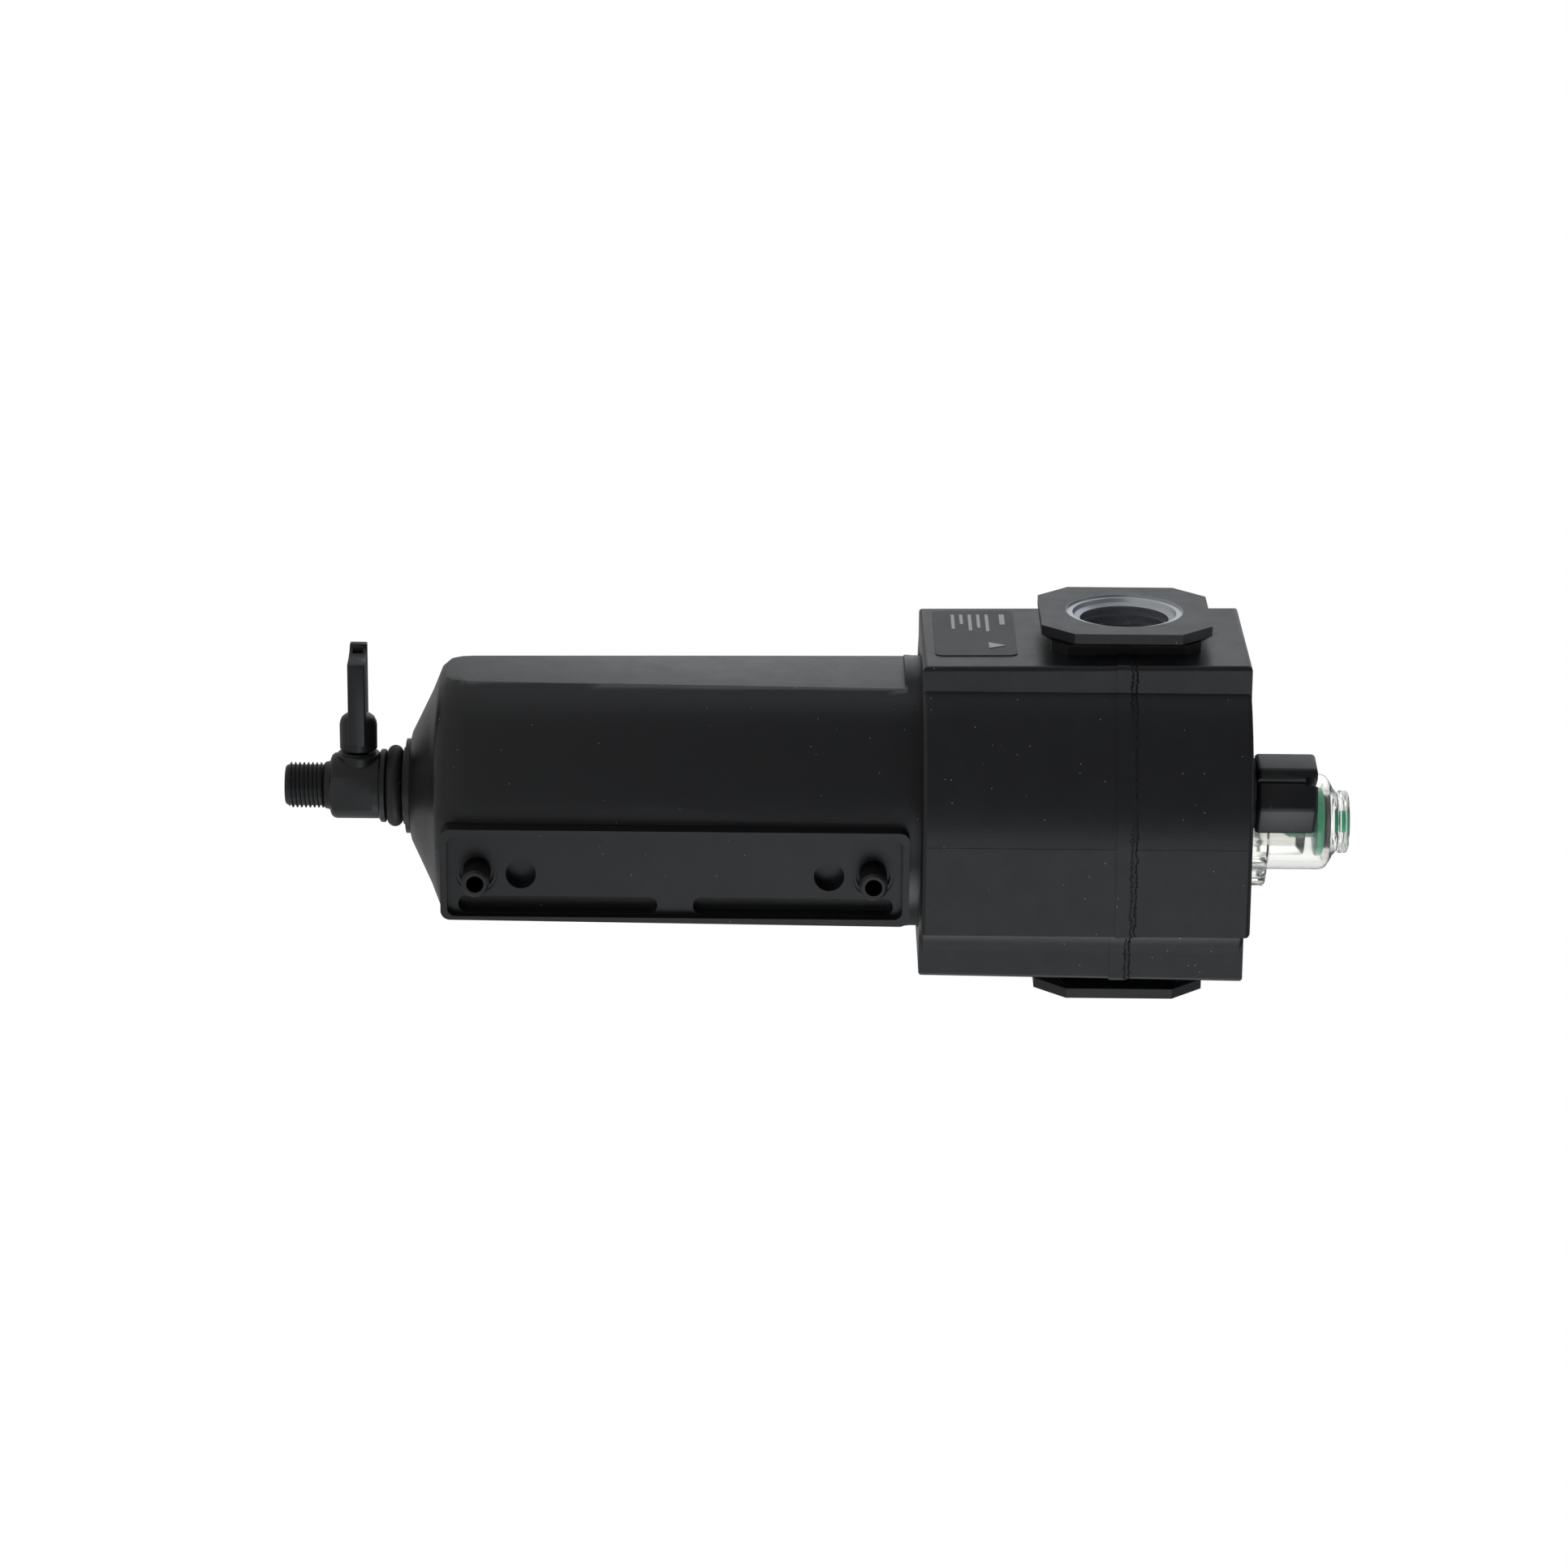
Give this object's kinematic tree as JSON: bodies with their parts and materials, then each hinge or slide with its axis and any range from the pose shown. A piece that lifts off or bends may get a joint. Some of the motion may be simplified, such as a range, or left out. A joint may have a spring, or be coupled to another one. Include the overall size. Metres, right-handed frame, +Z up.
{
  "type": "compressed air line lubricator",
  "caption": "In-line compressed air lubricator: ported head, clear sight dome, oil fill plug, metal bowl with level gauge seat and quarter-turn drain.",
  "frame": {"origin": "where the axis through both pipe ports crosses the bowl's upright axis", "axes": "+X towards the outlet port, -Y towards the front (gauge side), +Z up the bowl's axis to the sight dome"},
  "size_m": [0.08, 0.0756, 0.2255],
  "materials": {
    "black_casting": "satin black paint over a die casting",
    "bare_zinc": "machined bare metal",
    "black_nylon": "moulded black nylon",
    "clear_plastic": "clear polycarbonate",
    "green_plastic": "moulded green plastic",
    "seal_rubber": "nitrile rubber",
    "label_grey": "printed foil label",
    "steel": "stainless steel",
    "brass": "turned brass",
    "siphon_plastic": "natural nylon tube",
    "sintered_bronze": "sintered bronze",
    "natural_acetal": "natural acetal"
  },
  "bodies": {
    "head": {"head_body": "black_casting", "rating_label": "label_grey", "sight_dome": "clear_plastic", "dome_seal": "seal_rubber", "drip_tube": "clear_plastic", "flow_guide": "natural_acetal", "vane_pin": "steel", "siphon_adapter": "brass", "siphon_tube": "siphon_plastic", "siphon_strainer": "sintered_bronze", "charge_valve_seat": "brass"},
    "bowl": {"bowl": "black_casting", "bowl_seal": "seal_rubber", "gauge_spigot_upper": "black_nylon", "gauge_spigot_lower": "black_nylon", "drain_body": "black_nylon", "drain_nut": "brass", "drain_washer": "black_nylon", "drain_grommet": "seal_rubber"},
    "drain_handle": {"drain_handle": "black_nylon", "drain_stem_seals": "seal_rubber"},
    "fill_plug_seal": {"fill_plug_seal": "seal_rubber"},
    "fill_plug": {"fill_plug": "black_nylon"},
    "adjuster": {"adjusting_screw": "green_plastic", "adjuster_seal": "seal_rubber"},
    "flow_vane": {"flow_vane": "natural_acetal"},
    "siphon_ball": {"siphon_ball": "steel"},
    "charge_ball": {"charge_valve_ball": "steel"}
  },
  "joints": [
    {"name": "bowl_turn", "type": "hinge", "parent": "head", "child": "bowl", "pos_m": [0, 0, -0.034], "axis": [0, 0, 1], "range_deg": [0, 45]},
    {"name": "drain_turn", "type": "hinge", "parent": "bowl", "child": "drain_handle", "pos_m": [0, 0, -0.16095], "axis": [1, 0, 0], "range_deg": [0, 90]},
    {"name": "fill_plug_rise", "type": "slide", "parent": "head", "child": "fill_plug_seal", "axis": [0, 0, 1], "range_m": [0, 0.009]},
    {"name": "fill_plug_turn", "type": "hinge", "parent": "fill_plug_seal", "child": "fill_plug", "pos_m": [-0.0049, -0.0151, 0.03], "axis": [0, 0, 1], "range_deg": [0, 2161]},
    {"name": "oil_adjust_turn", "type": "hinge", "parent": "head", "child": "adjuster", "pos_m": [0.0076, 0.0044, 0.0425], "axis": [0, 0, 1], "range_deg": [0, 270]},
    {"name": "vane_swing", "type": "hinge", "parent": "head", "child": "flow_vane", "pos_m": [0.0009, 0, 0.005], "axis": [0, -1, 0], "range_deg": [0, 55]},
    {"name": "siphon_ball_lift", "type": "slide", "parent": "head", "child": "siphon_ball", "axis": [0, 0, 1], "range_m": [0, 0.0012]},
    {"name": "charge_ball_lift", "type": "slide", "parent": "head", "child": "charge_ball", "axis": [0, 0, 1], "range_m": [0, 0.0007]}
  ],
  "couplings": [
    {"joint": "fill_plug_turn", "follows": "fill_plug_rise", "rad_per_m": 4188.8}
  ]
}
